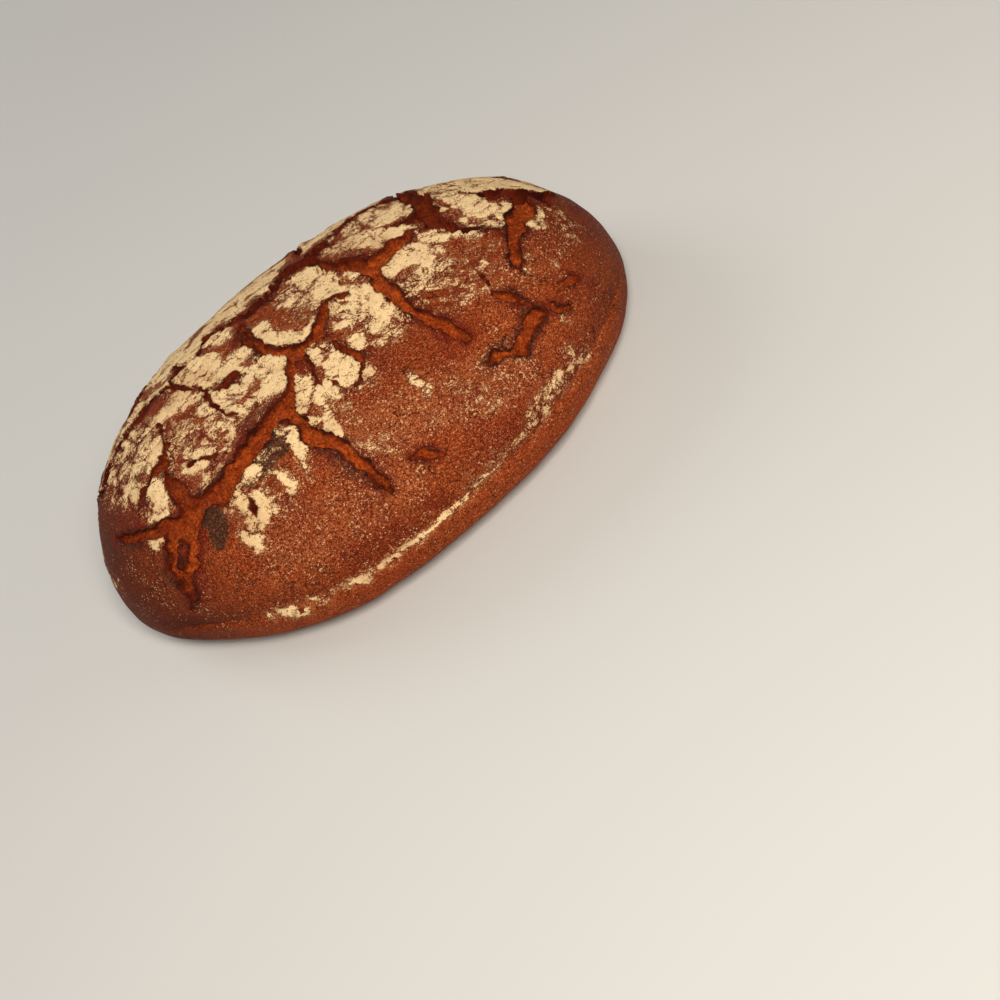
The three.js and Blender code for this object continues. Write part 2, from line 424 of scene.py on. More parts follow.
# %% Where the flour lies
FLOUR = [  # coverage, then places on the stroke
    # The left plates.
    (0.72, (-110, -16, 7), (-98, -19, 8), (-88, -14, 7)),
    (0.62, (-120, -14, 3), (-116, -2, 4), (-112, 8, 4)),
    (0.80, (-112, -2, 3), (-108, 6, 4), (-107, 15, 4.5), (-111, 21, 2)),
    (0.84, (-101, -2, 5), (-93, 2, 7), (-88, 4, 4)),
    (0.62, (-98, -24, 4), (-90, -21, 5), (-82, -16, 4)),
    (1.00, (-97, 27, 2.5), (-100, 33, 4.5), (-102, 40, 3), (-102.5, 45, 1)),
    (0.85, (-107, 37, 1.6)),
    (0.95, (-80, 31, 0.8), (-77, 35, 2.4), (-73, 37.5, 1)),
    (0.92, (-79, 46, 0.8), (-76, 43, 1.8), (-72, 41, 0.8)),
    (0.62, (-68, 42, 1)),
    (0.95, (-76, -13, 3), (-68, -13, 4.5), (-62, -13, 3)),
    (0.85, (-76, 24, 2), (-72, 27, 2.8), (-67, 33, 1)),
    (0.48, (-76, -2, 3), (-70, 8, 5), (-68, 20, 6)),
    (0.60, (-113, -26, 5), (-106, -12, 8), (-112, 4, 5)),
    # Above the long tear.
    (1.00, (-58, -24, 4), (-50, -20, 6.5), (-42, -17, 6)),
    (0.95, (-48, -10, 4), (-42, -6, 4.5), (-34, -7, 5), (-28, -5, 3)),
    (0.80, (-40, -35, 2), (-34, -30, 4), (-29, -27, 2)),
    (0.92, (-66, -4, 2), (-60, -5, 2.6), (-54, -1, 2)),
    (0.90, (-58, 4, 1.2), (-59, 11, 2), (-58, 17, 1)),
    (0.95, (-60, 22, 1), (-55.5, 26, 1.8), (-53, 29, 1.8), (-56, 34, 2.2), (-61, 37, 0.8)),
    (0.92, (-51, 8, 1.4), (-50, 18, 1.8), (-48, 26, 1)),
    (1.00, (-49, 6, 3), (-48, 12, 2)),
    (1.00, (-46, 14, 2.6), (-40, 13, 4), (-35, 12, 3)),
    (1.00, (-33, 3, 1.6), (-26, 8, 4), (-20, 15, 4)),
    (0.97, (-44, 24, 2), (-37, 26, 3), (-29, 24, 4), (-23, 25, 4.6)),
    (0.55, (-45, 30, 2), (-38, 31, 2)),
    (0.80, (-25, -3, 1), (-23, 1, 1.4)),
    # Below and inside the loop.
    (0.92, (-19, 30, 1.6), (-15, 33, 2.6), (-11, 36, 2)),
    (0.95, (-20, 46, 2), (-15, 43, 3.4), (-10, 41, 1.6)),
    (0.95, (-19, 53, 1), (-15, 55, 1.8)),
    (1.00, (-11.5, 46, 2.2), (-12, 52, 1)),
    (1.00, (-12, 57, 2.6), (-13.5, 63, 2), (-12.5, 68, 0.8)),
    (0.70, (-10, 59.5, 1), (-5, 59.5, 0.6)),
    (0.95, (-6, 45, 2.4), (-5, 49, 1.6)),
    (1.02, (3, 38, 4), (5.5, 45, 4.4)),
    (0.90, (-2, 23, 1), (-2, 30, 1.4), (3, 28, 1.8), (7, 32, 1)),
    (0.95, (12.5, 53, 1), (13.5, 59, 1.6)),
    (0.85, (5, 55.5, 1.3)),
    (1.00, (-14, -14, 2), (-12, -5, 3), (-8, 2, 3.4), (-2, 7.5, 3), (5, 9.5, 2.2)),
    (0.42, (-2, -8, 4), (4, -3, 4), (6, 3, 2)),
    (0.66, (2, -24, 4), (10, -14, 7), (15, -5, 5)),
    (0.94, (12, -29, 3), (19, -24, 5.5), (22, -14, 6), (23, -5, 6)),
    (0.80, (8, -23, 4), (5, -16, 4.6), (1, -18, 2.6)),
    # The middle of the crown.
    (1.00, (25, -3, 4), (30, 5, 3.6), (33.5, 14, 3.8), (36, 24, 4), (37.5, 33, 3)),
    (0.86, (21, 12, 4), (26, 22, 6), (31, 34, 6)),
    (0.95, (14, -4, 2), (12, 0, 1.6)),
    (0.92, (17, 22, 2), (19, 26, 1.6)),
    (0.97, (18, 32, 1.8), (18, 38, 2), (22, 33, 1.6)),
    (0.50, (22, 43, 5), (34, 43, 6)),
    (0.95, (37, -5, 1.8), (38, -2, 1.6)),
    (0.86, (37, -32, 3), (44, -27, 6), (52, -21, 6), (57, -17, 4)),
    (1.00, (56, -24, 1.6), (61, -14, 2.2), (66, -8, 1.6), (71, -1, 1)),
    (0.95, (54, -13, 2)),
    (0.97, (62, -43, 5), (65, -34, 6.6), (71, -30, 5), (76, -27, 2.6)),
    (0.85, (72, -43, 2.4), (73, -37, 2)),
    (0.72, (52, -42, 4), (50, -35, 5)),
    (1.03, (53, 14, 3), (60, 12, 5), (66, 13, 5.5), (67, 21, 4)),
    (0.70, (53, 27, 4), (62, 28, 6), (72, 32, 5)),
    (0.95, (73, 5, 1.6), (76, 10, 3), (79, 14, 2)),
    (0.92, (73, 17, 2), (76, 22, 1.8)),
    (0.88, (81.5, 7, 1), (83, 14, 1.8), (88, 21, 2), (93, 28, 1)),
    (0.95, (89, 16, 1)),
    (0.50, (54, 34, 4), (62, 38, 6), (72, 36, 5)),
    (0.42, (62, 50, 7), (78, 46, 8), (90, 42, 6)),
    # The right end.
    (0.84, (96, -62, 5), (96, -46, 6), (96, -34, 5)),
    (0.97, (95, -26, 3), (98, -17, 4), (101, -9, 5)),
    (1.03, (101, -6, 5), (102, 4, 6), (104, 9, 5)),
    (0.94, (94, 9, 1.4), (95, 14, 1.2)),
    (0.86, (101, 13, 2), (101.5, 20, 2), (102, 28, 0.8)),
    (0.90, (108, 14, 3), (108.5, 20, 2.6), (108, 26, 1.6)),
    (0.92, (112, 10, 1.6), (112, 14, 1.2)),
    (0.92, (88, -29, 1.6), (91, -24, 1.4)),
    (0.90, (88, -13, 1.2), (91, -7, 1.2)),
    (0.98, (106, -62, 6), (110, -50, 8), (112, -38, 8)),
    (1.00, (115, -40, 6), (122, -26, 7), (127, -13, 7)),
    (1.10, (104, -31, 4), (111, -26, 5), (118, -18, 6), (126, -14, 5)),
    (0.98, (120, -14, 4), (127, -7, 4), (134, -16, 4)),
    # Just behind the ridge.
    (0.92, (-54, -54, 6), (-50, -44, 6), (-46, -38, 4)),
    (0.94, (-42, -50, 4), (-28, -50, 6), (-18, -48, 5)),
    (0.95, (-30, -62, 6), (-12, -58, 9), (6, -56, 9)),
    (0.92, (-22, -42, 2), (-12, -43, 2), (-3, -44, 3)),
    (0.92, (30, -58, 4), (38, -62, 7), (46, -64, 6), (58, -68, 5)),
    (0.90, (39, -47, 1.6), (40, -42, 1.6)),
    (0.85, (26, -54, 1.6)),
    (0.85, (67, -60, 2), (69, -49, 1.4)),
    (0.86, (-103, -42, 2), (-97, -40, 2.6), (-88, -41, 2.6), (-81, -45, 3.6), (-75, -40, 3)),
    (0.85, (-85, -50, 2.6), (-83, -57, 2)),
    (0.92, (-71, -56, 3), (-68, -49, 3)),
    (0.92, (-62, -52, 3), (-64, -44, 3), (-67, -42, 1.4)),
    (0.92, (-70, -34, 1.6), (-67, -30, 2), (-68, -27, 1)),
    (0.66, (-124, -50, 6), (-119, -42, 6), (-112, -44, 4)),
    (0.60, (-142, -40, 4), (-146, 0, 5), (-144, 40, 4)),
    # Streaks below the long tear.
    (0.90, (-66, 62, 0.6), (-68.5, 67, 1), (-69, 71, 1.4)),
    (0.60, (-70, 64, 2), (-73, 72, 2.4)),
    (1.00, (-71.5, 78, 0.8), (-69, 80.5, 2), (-65, 79, 2.6), (-61, 75, 2.2)),
    (0.97, (-62, 68, 0.8), (-61, 72, 2), (-58, 76, 2.6), (-57.5, 79, 1)),
    (0.60, (-62, 62, 2), (-57, 68, 2.4)),
    (0.97, (-78, 83, 1.8), (-75, 87, 3), (-73, 88, 1)),
    (0.90, (-78, 92, 0.9)),
    (0.95, (-50, 63, 0.8), (-47.5, 68, 2), (-45, 73, 2)),
    (0.95, (-53, 78, 0.6), (-49, 75.5, 1.4), (-45.5, 75, 1)),
    (1.00, (-60, 56, 0.2), (-58.5, 58.5, 0.2), (-54, 59, 0.1)),
    (0.50, (-64, 62, 3), (-56, 64, 3), (-44, 56, 4)),
    (1.00, (-36, 52.5, 0.9), (-33, 57, 1.6), (-32.5, 62, 1.8), (-35, 67, 1.4), (-36, 74, 0.6)),
    # Stray patches at both ends.
    (0.92, (-114, 55, 2), (-110, 53, 1.6)),
    (0.92, (-107, 61, 1.2)),
    (0.92, (126, 27, 1), (122, 35, 1.2), (119, 41, 2.6), (120, 46, 1)),
    (0.45, (130, 32, 3), (132, 46, 5), (128, 58, 5)),
    # Faint patches on the front.
    (0.84, (27, 67, 1.6), (30, 73, 1.8), (28, 78, 1.2)),
    (0.46, (-7, 74, 2), (-6, 83, 3), (0, 85, 3)),
    (0.46, (23, 88, 2), (19, 80, 1)),
    (0.42, (44, 86, 5), (50, 100, 6)),
    (0.50, (113, 76, 2), (114, 84, 2)),
    (0.44, (102, 62, 3)),
    (0.46, (100, 99, 2)),
    # The line along the foot's crease.
    (0.85, (-94, 126, 1), (-93.5, 131, 0.8)),
    (0.95, (-88, 128, 1.4), (-83, 131, 2.6), (-77, 134, 1)),
    (0.95, (-75, 126, 1), (-72, 128, 1.6), (-68, 130.5, 0.6)),
    (0.80, (-66, 132, 0.6), (-62, 130, 1), (-56, 128.5, 0.4)),
    (0.97, (-53, 129, 1), (-48, 130, 2.2), (-42, 128, 1)),
    (1.00, (-38, 129, 0.9), (-31, 129.5, 1.3), (-20, 129, 1), (0, 128.5, 1), (20, 128, 0.9),
     (33, 127, 0.5)),
    (0.72, (19, 122.5, 1), (22, 125, 0.8)),
    (0.70, (29, 123, 1), (36, 122, 0.8)),
    (0.66, (42, 123, 0.9), (50, 125, 1.4), (60, 125, 3), (68, 123, 3)),
    (0.90, (73, 117, 1.6), (79, 116.5, 2), (84, 117.5, 1.4)),
    (0.90, (93, 115, 1.4), (91, 120, 1.8), (87, 120, 1)),
    (0.72, (94, 124, 1.2), (97, 127, 0.8)),
    (0.72, (99, 122, 1.2), (101, 127, 1)),
    (0.52, (56, 124, 4), (70, 119, 5), (84, 121, 5), (98, 123, 4)),
    # Faint dust over the front.
    (0.30, (-10, 72, 12), (30, 84, 16), (62, 96, 16)),
    (0.24, (-60, 96, 18), (-10, 104, 16)),
    (0.26, (86, 60, 12), (112, 60, 12), (126, 62, 8)),
    (0.20, (-132, 60, 8), (-128, 100, 8), (-110, 124, 6)),
    # Sprays of loose flour below the caked patches.
    (0.56, (28, 22, 5), (36, 34, 6), (42, 44, 3)),
    (0.50, (60, 30, 6), (74, 30, 5)),
    (0.50, (-64, 24, 8), (-76, 12, 8), (-92, 20, 6)),
    (0.50, (-75, 67, 3), (-70, 76, 4)),
    # The far side.
    (0.90, (-70, -62, 5), (-54, -64, 8), (-38, -74, 7)),
    (0.84, (-24, -78, 7), (-6, -76, 8), (12, -80, 4)),
    (0.70, (-40, -86, 4), (-20, -88, 3)),
    (0.74, (-38, -105, 5), (-26, -110, 4)),
    (0.80, (-12, -105, 5), (4, -108, 6), (12, -100, 3)),
    (0.95, (32, -66, 5), (46, -74, 6), (66, -74, 6)),
    (0.86, (32, -98, 5), (44, -96, 5), (48, -104, 4)),
    (0.66, (58, -98, 6), (74, -104, 7)),
    (0.92, (-88, -72, 4), (-78, -84, 6), (-68, -94, 6)),
    (0.64, (-66, -112, 5), (-80, -104, 6)),
    (0.88, (-112, -50, 5), (-105, -62, 7), (-101, -74, 5)),
    (0.66, (-100, -86, 6), (-92, -98, 6)),
    (0.90, (92, -72, 4), (104, -80, 6)),
    (0.62, (104, -92, 4), (116, -98, 5)),
    (0.80, (131, -30, 3), (133, -44, 5)),
    (0.66, (129, -60, 4), (124, -76, 4)),
    (0.66, (-134, -54, 5), (-134, -72, 5)),
    (0.50, (-120, -96, 8), (-60, -118, 10), (0, -118, 10), (60, -116, 9), (108, -106, 6)),
    (0.84, (-84, -128, 2), (-70, -130, 2.6), (-64, -129, 1)),
    (0.78, (-44, -129, 1.4), (-32, -131, 2.6), (-14, -129, 1.2)),
    (0.66, (2, -129, 1.6), (20, -130, 2.2)),
    (0.84, (48, -128, 2), (58, -130, 3), (70, -129, 1.6)),
    (0.70, (84, -127, 2), (92, -125, 1.4)),
]

# %% Dust the crust
ONLY_DUST = 0.35  # a coverage up to this leaves no flour, only dust
SPREAD = 0.6
CAKED_EDGE = 1.2  # half the width of an edge: of caked flour, what powder adds, and of dust
POWDERY_EDGE = 9.0
DUSTY_EDGE = 6.0
SPILL = 0.4  # flour spills this share of its coverage as dust, this far
SPILL_REACH = 5.0
CLING = 1.7
CLING_REACH = 4.5
CRUMBLE = 0.8  # how far flour crumbles into a tear
BASE_TOP = FOOT_HEIGHT / 2  # the underside's look fades out below this height
BASE_FADE = 5
BASE_FLOUR = 0.42
BASE_PATCHES = (0.2, 18, 31)  # height, hill size and seed


def coverage(strokes, cling):
    """The coverage of flour and the dust at each point, each the most that any stroke leaves there.

    A stroke's coverage falls smoothly to 0 across its edge, which is the wider the lower its coverage is.
    """
    cover, dust = np.zeros((2, len(points)))
    for amount, *stroke in strokes:
        gap = stroke_gap(stroke)[0] - SPREAD - cling
        if amount > ONLY_DUST:
            edge = CAKED_EDGE + POWDERY_EDGE * max(0.0, 1 - amount)
            cover = np.maximum(cover, amount * smooth(0.5 - gap / (2 * edge)))
            dust = np.maximum(dust, SPILL * amount * smooth(1 - gap / SPILL_REACH))
        else:
            dust = np.maximum(dust, amount * smooth(0.5 - gap / (2 * DUSTY_EDGE)))
    return cover, dust


flour, dust = coverage(FLOUR, CLING * np.exp(-((outside / CLING_REACH) ** 2)))
underside = smooth((BASE_TOP - points[:, 2]) / BASE_FADE)
flour = np.maximum(flour, underside * (BASE_FLOUR + stacked(points, [BASE_PATCHES])))
flour *= smooth(1 + tear_gap / CRUMBLE)
dust *= 1 - underside
print(f"{(flour > 0.5).mean():.0%} of the crust's points are floured")

# %% [markdown]
# ## Scorching
#
# Edges that stand proud catch the most heat, so the plates' rims and a few crests are nearly black. The
# crown bakes darker than the sides, and so does a band just above the foot's crease. The ends are darker
# too, partly from baking and partly as painted shade, the left end more than the right. Scorched places are
# strokes again, while the darkening is a sum of smooth steps along, round and up the loaf.

# %% Where the crust is scorched
SCORCH = [  # strength, then places on the stroke
    (1.0, (-86, 62, 4), (-83, 67, 5), (-86, 73, 4), (-90, 79, 2.4)),
    (1.1, (-62, 61, 1.6), (-54, 59, 3), (-46, 57, 4.4), (-38, 55.5, 5)),
    (0.7, (-29, 62, 2), (-26, 70, 3.6), (-24, 78, 3.6), (-22, 86, 2.4), (-20, 93, 1)),
    (0.9, (-24, 44, 2.6), (-25, 50, 3)),
    (0.7, (60, 83, 2), (68, 84, 3), (76, 87, 3), (84, 83, 2.6), (89, 80, 2)),
    (0.6, (85, 94, 3), (90, 93, 1)),
    (0.6, (92, 66, 2), (94, 74, 2)),
    (0.9, (123, 22, 1.6), (119, 32, 2), (113, 41, 2)),
    (0.7, (106, 46, 2), (103, 55, 1.6)),
    (0.8, (-127, 38, 2.6), (-122, 45, 3), (-116, 51, 2)),
    (0.8, (-118, 78, 2.4), (-118, 88, 2.6), (-119, 95, 1.6)),
    (0.6, (-107, 74, 2), (-110, 86, 1.6)),
    (0.6, (4, -6, 3), (5, 3, 3)),
    (0.8, (-77, 50, 2), (-71, 48, 2.6), (-66, 45, 1.6)),
    (0.7, (-50, 34, 2.4), (-42, 33, 3), (-33, 33, 2.6)),
    (0.9, (-104, 3, 1), (-102, 5, 1)),
    (0.6, (109, 76, 1), (111, 84, 1.4)),
    (0.5, (-30, 108, 2)),
    (0.5, (-134, -10, 6), (-136, 20, 6), (-132, 40, 5)),
]

# %% How dark each place baked, with painted shade at the ends
CREASE_GIRTH = 128.5
TIP_FADE = 28  # the crease and what follows it fade out this far before the tips
CROWN_BAKE = 0.3
# The ends' darkening is partly baking and partly painted shade; the left end gets more.
END_BAKE_AND_SHADE = [(1, 95, 0.55), (-1, 90, 0.85)]  # side, where it starts and how much
END_BAKE_WIDTH = 50
FOOT_BAKE = 0.4
FOOT_BAKE_START = 106
FOOT_BAKE_WIDTH = 16
CREASE_FADE = 3
RIM_MIDDLE = 0.4  # a rim is darkest this far outside the tear, and fades over the reach
RIM_REACH = 1.1
RIM_BASE = 0.55
RIM_PATCHES = (0.45, 14, 41)  # height, hill size and seed

girth_of = np.concatenate([np.abs(grid_girth[1:-1]).reshape(-1), [FOOT_GIRTH, FOOT_GIRTH]])
before_tips = smooth((LENGTH / 2 - np.abs(points[:, 0])) / TIP_FADE)
foot_band = smooth((girth_of - FOOT_BAKE_START) / FOOT_BAKE_WIDTH)
foot_band *= smooth((CREASE_GIRTH - girth_of) / CREASE_FADE) * before_tips
bake_and_shade = CROWN_BAKE * (points[:, 2] / HEIGHT) ** 2 + FOOT_BAKE * foot_band
for side, start, amount in END_BAKE_AND_SHADE:
    bake_and_shade += amount * smooth((side * points[:, 0] - start) / END_BAKE_WIDTH)

scorch, _ = coverage(SCORCH, 0)
rim = lifting * np.exp(-((tear_gap - RIM_MIDDLE) / RIM_REACH) ** 2)
rim *= RIM_BASE + stacked(points, [RIM_PATCHES])
scorch = np.clip(np.maximum(scorch, rim), 0, 1)
print(f"{(scorch > 0.5).mean():.0%} of the crust's points are scorched")

# %% [markdown]
# ## Crazing
#
# Caked flour dries faster than the dough under it and crazes like mud. Each point looks for its two
# nearest seeds; where both are equally far away runs a crack between two flakes.

# %% Craze lines
FLAKES = 900
FLAKE_DRAW = 51
CRAZE_WANDER = (9, 3.0, 61)  # hill size, reach and seed
flake_seeds = points[np.random.default_rng(FLAKE_DRAW).choice(len(points), FLAKES, replace=False)]
craze_points = wander(points, *CRAZE_WANDER)
nearest = np.full(len(points), FAR)
second = np.full(len(points), FAR)
for seed_point in flake_seeds:
    distance = np.linalg.norm(craze_points - seed_point, axis=1)
    second = np.minimum(second, np.maximum(nearest, distance))
    nearest = np.minimum(nearest, distance)
craze_gap = second - nearest
print(f"{(craze_gap < 1).mean():.0%} of the points lie within a millimetre of a craze line")

# %% [markdown]
# ## Push the points out
#
# All heights are added up and applied along the surface's own normals: lumps, tears and their crumbs, and
# the flour with its craze lines. The foot gets a shallow crease where the loaf spread on the stone, with a
# soft band below it. The flat underside takes hardly any of this.

# %% Heights
LUMPS = [(0.9, 42, 81), (0.45, 17, 82), (0.16, 6, 83)]  # height, hill size and seed
CRUMBS = [(1.2, 5, 84), (0.8, 2.6, 85)]
CRUMB_EDGE = 1.5
FLOUR_THICKNESS = 0.35
CRAZE_DEPTH = 0.7
CRAZE_WIDTH = 0.9
CREASE_WANDER = (1.5, 30, 71)
CREASE_DEPTH = 1.1
CREASE_WIDTH = 1.8
BAND_RISE = 0.7
BAND_MIDDLE = 6
BAND_WIDTH = 4
STONE_FLATTENING = 0.85


def bell(offset, width):
    """exp(-(offset / width) ** 2): 1 in the middle and nearly 0 at twice the width."""
    return np.exp(-((offset / width) ** 2))


normals_grid = np.cross(np.gradient(grid_points, axis=1), np.gradient(grid_points, axis=0))
normals_grid /= np.linalg.norm(normals_grid, axis=-1, keepdims=True) + TINY
tips = np.array([[-1.0, 0, 0], [1.0, 0, 0]])
normals = np.concatenate([normals_grid[1:-1].reshape(-1, 3), tips])
if (normals[:, 2] * (points[:, 2] - FOOT_HEIGHT)).sum() < 0:
    normals[:-2] *= -1

in_tear = smooth(-tear_gap / CRUMB_EDGE)
crease_offset = girth_of - CREASE_GIRTH + stacked(points, [CREASE_WANDER])
crease = BAND_RISE * bell(crease_offset - BAND_MIDDLE, BAND_WIDTH)
crease -= CREASE_DEPTH * bell(crease_offset, CREASE_WIDTH)

height = stacked(points, LUMPS) + in_tear * stacked(points, CRUMBS)
height += lip - sinking
height += crease * before_tips
height += FLOUR_THICKNESS * smooth(flour * 2 - 0.6)
height -= CRAZE_DEPTH * bell(craze_gap, CRAZE_WIDTH) * smooth(flour * 3 - 0.8) * (1 - in_tear)
height *= 1 - STONE_FLATTENING * underside

moved = points + normals * height[:, None] + tear_towards * (lean * (1 - underside))[:, None]
moved[:, 2] = np.maximum(moved[:, 2], 0)
print(f"Heights run from {height.min():.1f} to {height.max():.1f} mm")

# %% [markdown]
# ## The mesh
#
# Rings of points become quads, and a fan of triangles closes each tip on one shared point. What the
# crust is made of at each point goes along as attributes, which the material reads.

# %% Build the loaf
AROUND = len(girths)
INNER_RINGS = RINGS - 1
FOOT_COLOUR_WIDTH = 6
FARTHEST_GAP = 9  # gaps are only needed near the tears


def ring_faces():
    """Quads between neighbouring rings and triangles from the end rings to the two tips."""
    index = np.arange(INNER_RINGS * AROUND).reshape(INNER_RINGS, AROUND)
    beside = np.roll(index, -1, axis=1)
    quads = np.stack([index[:-1], beside[:-1], beside[1:], index[1:]], axis=-1).reshape(-1, 4)
    first_tip, last_tip = INNER_RINGS * AROUND, INNER_RINGS * AROUND + 1
    first_fan = np.stack([beside[0], index[0], np.full(AROUND, first_tip)], axis=-1)
    last_fan = np.stack([index[-1], beside[-1], np.full(AROUND, last_tip)], axis=-1)
    return quads.tolist() + first_fan.tolist() + last_fan.tolist()


def signed_volume(mesh):
    """A sixth of the sum of a . (b x c) over all triangles: positive when the faces point outwards."""
    mesh.calc_loop_triangles()
    corners = np.zeros(len(mesh.loop_triangles) * 3, int)
    mesh.loop_triangles.foreach_get("vertices", corners)
    places = np.zeros(len(mesh.vertices) * 3)
    mesh.vertices.foreach_get("co", places)
    a, b, c = places.reshape(-1, 3)[corners.reshape(-1, 3)].transpose(1, 0, 2)
    return (a * np.cross(b, c)).sum() / 6


mesh = bpy.data.meshes.new("loaf_crust")
mesh.from_pydata((moved * MM).tolist(), [], ring_faces())
if signed_volume(mesh) < 0:
    mesh.flip_normals()
mesh.shade_smooth()
looks = dict(
    flour=flour, dust=dust, scorch=scorch, bake_and_shade=bake_and_shade, freshness_and_light=freshness_and_light, craze_gap=craze_gap,
    underside=underside, lifting=lifting, under_plate=under_plate,
    tear_gap=np.clip(tear_gap, -FARTHEST_GAP, FARTHEST_GAP),
    foot=smooth((girth_of - CREASE_GIRTH + 2) / FOOT_COLOUR_WIDTH) * before_tips,
)
for name, values in looks.items():
    layer = mesh.attributes.new(name, "FLOAT", "POINT")
    layer.data.foreach_set("value", values.astype(np.float32))

loaf_crust = bpy.data.objects.new("loaf_crust", mesh)
bpy.context.scene.collection.objects.link(loaf_crust)
print(f"{len(mesh.polygons)} faces, {signed_volume(mesh) / MM**3 / 1e6:.2f} litres")

# %% [markdown]
# ## Shader arithmetic
#
# A material is a sum, like any other, but drawn as boxes and wires. Wrapping a socket in a small class
# lets the sums be written as sums: each + or * adds the Math node that it stands for.

# %% Wires and nodes


class Wire:
    """One output socket. Arithmetic on it adds Math nodes to its tree and gives the result's wire."""

    def __init__(self, socket, paint):
        self.socket = socket
        self.paint = paint

    def math(self, operation, first, second):
        """One Math node: first and second joined by the operation."""
        return self.paint.node("ShaderNodeMath", "Value", {"operation": operation}, {0: first, 1: second})

    def __add__(self, other):
        return self.math("ADD", self, other)

    def __sub__(self, other):
        return self.math("SUBTRACT", self, other)

    def __rsub__(self, other):
        return self.math("SUBTRACT", other, self)

    def __mul__(self, other):
        return self.math("MULTIPLY", self, other)

    __radd__ = __add__
    __rmul__ = __mul__

    def at_most(self, limit):
        """The smaller of this and limit."""
        return self.math("MINIMUM", self, limit)


class Paint:
    """A material's node tree, with one method that adds any node."""

    def __init__(self, name):
        self.material = bpy.data.materials.new(name)
        self.material.use_nodes = True
        self.tree = self.material.node_tree
        self.tree.nodes.clear()

    def node(self, kind, output, settings, inputs):
        """Adds a node, sets its settings, then its sockets from numbers, colours or wires."""
        node = self.tree.nodes.new(kind)
        for name, value in settings.items():
            setattr(node, name, value)
        for name, value in inputs.items():
            if isinstance(value, Wire):
                self.tree.links.new(value.socket, node.inputs[name])
            else:
                node.inputs[name].default_value = value
        return Wire(node.outputs[output], self) if output else node

    def surface(self, inputs):
        """Adds the Principled surface with these inputs and shows it."""
        shader = self.node("ShaderNodeBsdfPrincipled", "BSDF", {}, inputs)
        self.node("ShaderNodeOutputMaterial", None, {}, {"Surface": shader})


def srgb(red, green, blue):
    """A colour given as screen numbers from 0 to 255, turned into light."""
    def light(value):
        """value / 255, bent by the screen's curve: a line near black, then a power of 2.4."""
        share = value / 255
        return share / 12.92 if share <= 0.04045 else ((share + 0.055) / 1.055) ** 2.4
    return (light(red), light(green), light(blue), 1.0)


# %% [markdown]
# ## The crust's finish
#
# Rye crust is reddish brown and slightly glossy under a fine pink-grey bloom of flour. The torn floors are
# orange and dry, deep red close to the walls. Caked flour is cream and quite matt. Each of these is a
# colour, and the attributes from the mesh, roughened by fine grain, say where one gives way to the next.

# %% Helpers for the crust
MIX_FACTOR, MIX_FIRST, MIX_SECOND, MIX_RESULT = 0, 6, 7, 2  # a Mix node's sockets for colours
crust = Paint("baked_crust")
object_place = crust.node("ShaderNodeTexCoord", "Object", {}, {})


def attribute(name):
    """What the mesh says at each point."""
    return crust.node("ShaderNodeAttribute", "Fac", {"attribute_name": name}, {})


def vector(operation, first, second):
    """A sum or product of two vectors."""
    return crust.node("ShaderNodeVectorMath", "Vector", {"operation": operation}, {0: first, 1: second})


def ramp(value, low, high, start=0.0, end=1.0):
    """start below low, end above high, and a smooth step in between."""
    limits = {"From Min": low, "From Max": high, "To Min": start, "To Max": end}
    settings = {"interpolation_type": "SMOOTHSTEP"}
    return crust.node("ShaderNodeMapRange", "Result", settings, {"Value": value, **limits})


def blend(share, first, second):
    """first * (1 - share) + second * share."""
    inputs = {MIX_FACTOR: share, MIX_FIRST: first, MIX_SECOND: second}
    return crust.node("ShaderNodeMix", MIX_RESULT, {"data_type": "RGBA"}, inputs)


def painted(colour, *coats):
    """The colour under its coats, each a share and the colour blended in by that share."""
    for share, coat in coats:
        colour = blend(share, colour, coat)
    return colour


def noise(output, place, size, detail, roughness=0.5):
    """Noise whose hills are about `size` mm apart, from about 0.2 to 0.8."""
    inputs = {"Vector": place, "Scale": 1 / (size * MM), "Detail": detail, "Roughness": roughness}
    return crust.node("ShaderNodeTexNoise", output, {}, inputs)


def grain(size, detail, roughness):
    """Noise in the loaf itself."""
    return noise("Fac", object_place, size, detail, roughness)


def shaken(size, reach):
    """The place on the loaf, pushed up to about `reach` mm aside by coloured noise `size` mm wide."""
    push = vector("MULTIPLY", noise("Color", object_place, size, 4.0), (2 * reach * MM,) * 3)
    return vector("ADD", object_place, push)


def cells(output, feature, size, place):
    """Cells `size` mm wide round random seeds: their colours, or the distance to the seed or the edge."""
    inputs = {"Vector": place, "Scale": 1 / (size * MM)}
    return crust.node("ShaderNodeTexVoronoi", output, {"feature": feature}, inputs)


def lottery(size, place):
    """One random number from 0 to 1 for each cell: the red share of the cell's random colour."""
    colour = cells("Color", "F1", size, place)
    return crust.node("ShaderNodeSeparateColor", "Red", {}, {"Color": colour})


# %% Grains of the crust, from fine to broad
sandy = grain(0.6, 2.0, 0.7)
gritty = grain(1.3, 3.0, 0.7)
medium = grain(3.5, 5.0, 0.65)
patchy = grain(9, 4.0, 0.6)
broad = grain(28, 4.0, 0.55)
cloudy = grain(45, 3.0, 0.5)
crumbly = grain(2.2, 5.0, 0.7)
sandy_sway = sandy - 0.5
gritty_sway = gritty - 0.5
medium_sway = medium - 0.5
patchy_sway = patchy - 0.5

# %% Flakes, dots and streaks of flour
flake_place = vector("MULTIPLY", shaken(3, 1.6), (0.6, 1.0, 1.0))
flake_share = lottery(4.0, flake_place)
flake_crack = cells("Distance", "DISTANCE_TO_EDGE", 4.0, flake_place)
dot_share = lottery(0.95, object_place)
dot_distance = cells("Distance", "F1", 0.95, object_place)
streak_place = vector("MULTIPLY", shaken(7, 5), (0.35, 1.0, 1.0))
streaks = noise("Fac", streak_place, 3, 5.0, 0.65)

